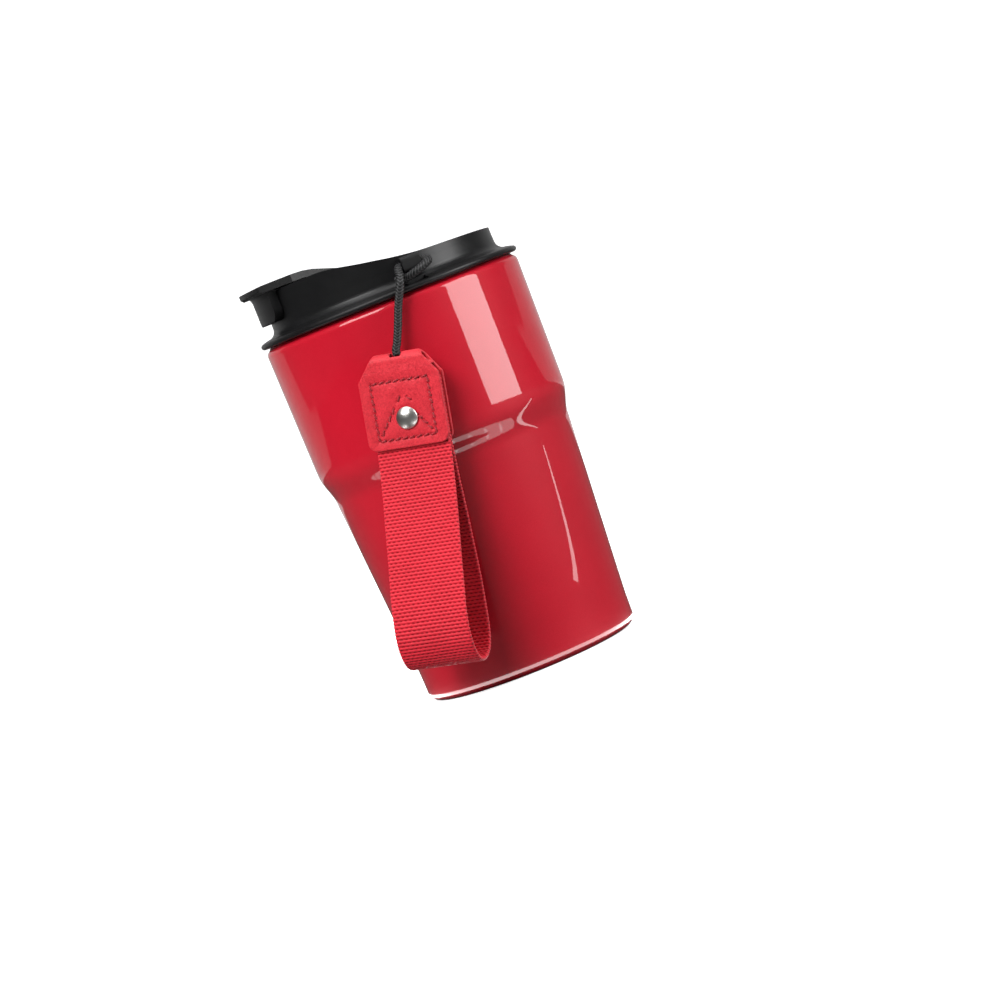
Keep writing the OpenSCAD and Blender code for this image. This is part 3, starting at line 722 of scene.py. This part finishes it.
black = plastic("lid_black_satin", (0.0055, 0.0055, 0.0058), (0.30, 0.40))
steel_ring = brushed("steel_spun", (0.62, 0.61, 0.60), True)
SKINS = {
    "outer_shell": lacquer(),
    "inner_liner": steel_ring,
    "base_plate": steel_ring,
    "base_cover": brushed("steel_cover", (0.60, 0.59, 0.58), True, 0.26, 0.42),
    "vacuum_getter": metal("getter_dull", (0.30, 0.28, 0.26), 0.45, 0.62, 0.7),
    "vacuum_seal": metal("solder_grey", (0.34, 0.34, 0.35), 0.35, 0.5, 0.75),
    "lid_gasket": silicone(),
    "lid_shell": black,
    "lid_plug": plastic("lid_inner_black", (0.012, 0.012, 0.0125), (0.34, 0.46)),
    "flap": plastic("flap_black", (0.0050, 0.0050, 0.0053), (0.40, 0.50)),
    "flap_pin": metal("pin_bright", (0.66, 0.65, 0.63), 0.18, 0.30),
    "rivet_cap": metal("rivet_nickel", (0.70, 0.68, 0.64), 0.27, 0.36, 0.92, 500),
    "rivet_post": metal("rivet_back", (0.70, 0.68, 0.66), 0.16, 0.28, 0.9, 500),
}
SKINS["spout_stopper"] = SKINS["vent_stopper"] = SKINS["lid_gasket"]
for name, skin in SKINS.items():
    paint(NODES[name], skin)
paint(rivet_ob, SKINS["rivet_cap"])
paint(shell_ob, SKINS["outer_shell"])
paint(cord_ob, braid())
paint(web_ob, webbing())
paint(tab_ob, leather())
paint(thread_ob, thread())


# ---------------------------------------------------------------- studio
def stage_material(name, value, glow, glow_camera, dim=1.0, soft=0.0):
    """Paper that glows enough to look white to the camera, and less to the mug."""
    m = Mat(name, **{"Specular IOR Level": 0.0, "Roughness": 0.9, "Emission Color": (1, 1, 1, 1)})
    n = m.noise(3, 2)
    path = m.add("ShaderNodeLightPath")
    shade = m.math("SUBTRACT", m.math("MULTIPLY_ADD", path.outputs["Is Glossy Ray"], dim - 1.0, 1.0),
                   m.math("MULTIPLY", path.outputs["Is Diffuse Ray"], soft))
    tone = m.ramp(n, (0.3, (value, value, value)), (0.7, (value * 1.01, value * 1.01, value * 1.01)))
    m.colour(m.mix(1.0, tone, shade, "MULTIPLY"))
    m.link(m.math("MULTIPLY_ADD", path.outputs["Is Camera Ray"], glow_camera - glow, glow), m.b.inputs["Emission Strength"])
    return m.m


def make_stage():
    # a sheet of paper: flat under the mug, rising behind it
    view = np.array([0.292, 0.956])
    across = np.array([0.956, -0.292])
    xs = np.linspace(-3.2, 3.2, 9)

    def sweep(name, prof, skin):
        verts = [(*(view * d + across * x), z - 0.00002) for d, z in prof for x in xs]
        ob = mesh_object(name, verts, grid_faces(len(prof), len(xs), closed=False))
        paint(ob, skin)

    sweep("floor", [(-2.4, 0.0), (-0.6, 0.0), (0.9, 0.0)], stage_material("paper_floor", 0.62, 0.0, 0.70, 0.10, 0.60))
    bend = [(1.6 + 0.9 * math.sin(t), 0.9 - 0.9 * math.cos(t)) for t in np.linspace(0.1, math.pi / 2, 12)]
    sweep("backdrop", [(0.9, 0.0), (1.6, 0.0)] + bend + [(2.5, 3.2)], stage_material("paper_back", 0.62, 0.30, 0.9, 0.6))


make_stage()
TO_CAM = Vector((-0.292, -0.956, 0))
TO_RIGHT = Vector((0.956, -0.292, 0))


def softbox(name, angle, dist, z, size, radiance, target=(0, 0, 0.08), diffuse=True, glossy=True, camera=True):
    """An area light, its angle measured from the camera's side of the mug towards the right."""
    d = TO_CAM * math.cos(rad(angle)) + TO_RIGHT * math.sin(rad(angle))
    data = bpy.data.lights.new(name, "AREA")
    data.shape = "RECTANGLE"
    data.size, data.size_y = size
    data.energy = radiance * math.pi * size[0] * size[1]
    ob = bpy.data.objects.new(name, data)
    ob.location = d * dist + Vector((0, 0, z))
    aim = Vector(target) - ob.location
    if abs(aim.x) + abs(aim.y) < 1e-6:
        ob.rotation_euler = (math.pi if aim.z > 0 else 0, 0, rad(-17 - angle))
    else:
        ob.rotation_euler = aim.to_track_quat("-Z", "Y").to_euler()
    COLLECTION.objects.link(ob)
    ob.visible_diffuse, ob.visible_glossy, ob.visible_camera = diffuse, glossy, camera
    return ob


def floor_card(name, angle, dist, size, radiance, lean=90.0, z=0.0006):
    """A small card near the paper that only shows as a highlight on the lacquer. lean is its face's tilt, 90 for flat."""
    d = TO_CAM * math.cos(rad(angle)) + TO_RIGHT * math.sin(rad(angle))
    at = d * dist + Vector((0, 0, z))
    to = Vector((0, 0, 1)) if lean >= 90 else d * math.cos(rad(lean)) + Vector((0, 0, math.sin(rad(lean))))
    return softbox(name, angle, dist, z, size, radiance, target=tuple(at + to), diffuse=False, camera=False)


softbox("key_right", 64.5, 0.95, 0.40, (0.56, 0.76), 8.0, target=(0, 0, 0.40), diffuse=False)
softbox("top", 10, 0.25, 1.35, (1.1, 0.9), 2.8, target=(0, 0, 0.1))
softbox("front_high", -34, 0.95, 1.05, (0.8, 0.6), 9.0, target=(0, 0, 0.08))
softbox("front_fill", -22, 1.5, 0.95, (0.7, 0.5), 16.5, target=(0, 0, 0.07), glossy=False)
softbox("side_fill", 84, 1.2, 0.7, (0.6, 0.6), 19.0, target=(0, 0, 0.07), glossy=False)
softbox("left_fill", -84, 1.2, 0.7, (0.6, 0.6), 6.0, target=(0, 0, 0.07), glossy=False)
softbox("back_fill", 190, 1.2, 1.0, (0.8, 0.6), 5.0, target=(0, 0, 0.07), glossy=False)
for i, t in enumerate((-2, 12, 26, 40, 54)):
    floor_card("card_right_%d" % i, t, 0.138, (0.035, 0.052), 3.0, lean=70, z=0.0105)
for i, t in enumerate((-78, -64, -50)):
    floor_card("card_left_%d" % i, t, 0.138, (0.035, 0.052), 3.0, lean=70, z=0.0105)
floor_card("card_streak", 83, 0.305, (0.012, 0.36), 6.5)


def foot_glow():
    """A narrow ring on the paper, seen only as a highlight along the rounded foot."""
    n, verts = 120, []
    for r in (0.0366, 0.0425):
        for k in range(n):
            t = 2 * math.pi * k / n
            verts.append((r * math.cos(t), r * math.sin(t), 0.0002))
    faces = [(k, (k + 1) % n, n + (k + 1) % n, n + k) for k in range(n)]
    ob = mesh_object("foot_glow", verts, faces)
    m = bpy.data.materials.new("glow")
    m.use_nodes = True
    m.node_tree.nodes.clear()
    e = m.node_tree.nodes.new("ShaderNodeEmission")
    e.inputs["Strength"].default_value = 9.0
    o = m.node_tree.nodes.new("ShaderNodeOutputMaterial")
    m.node_tree.links.new(e.outputs[0], o.inputs[0])
    paint(ob, m)
    ob.visible_camera = ob.visible_diffuse = ob.visible_shadow = False


foot_glow()

bpy.context.scene.view_settings.view_transform = "Standard"
world = bpy.data.worlds.new("studio")
bpy.context.scene.world = world
world.use_nodes = True
bg = world.node_tree.nodes["Background"]
bg.inputs[0].default_value = (1.0, 1.0, 1.0, 1.0)
bg.inputs[1].default_value = 0.07
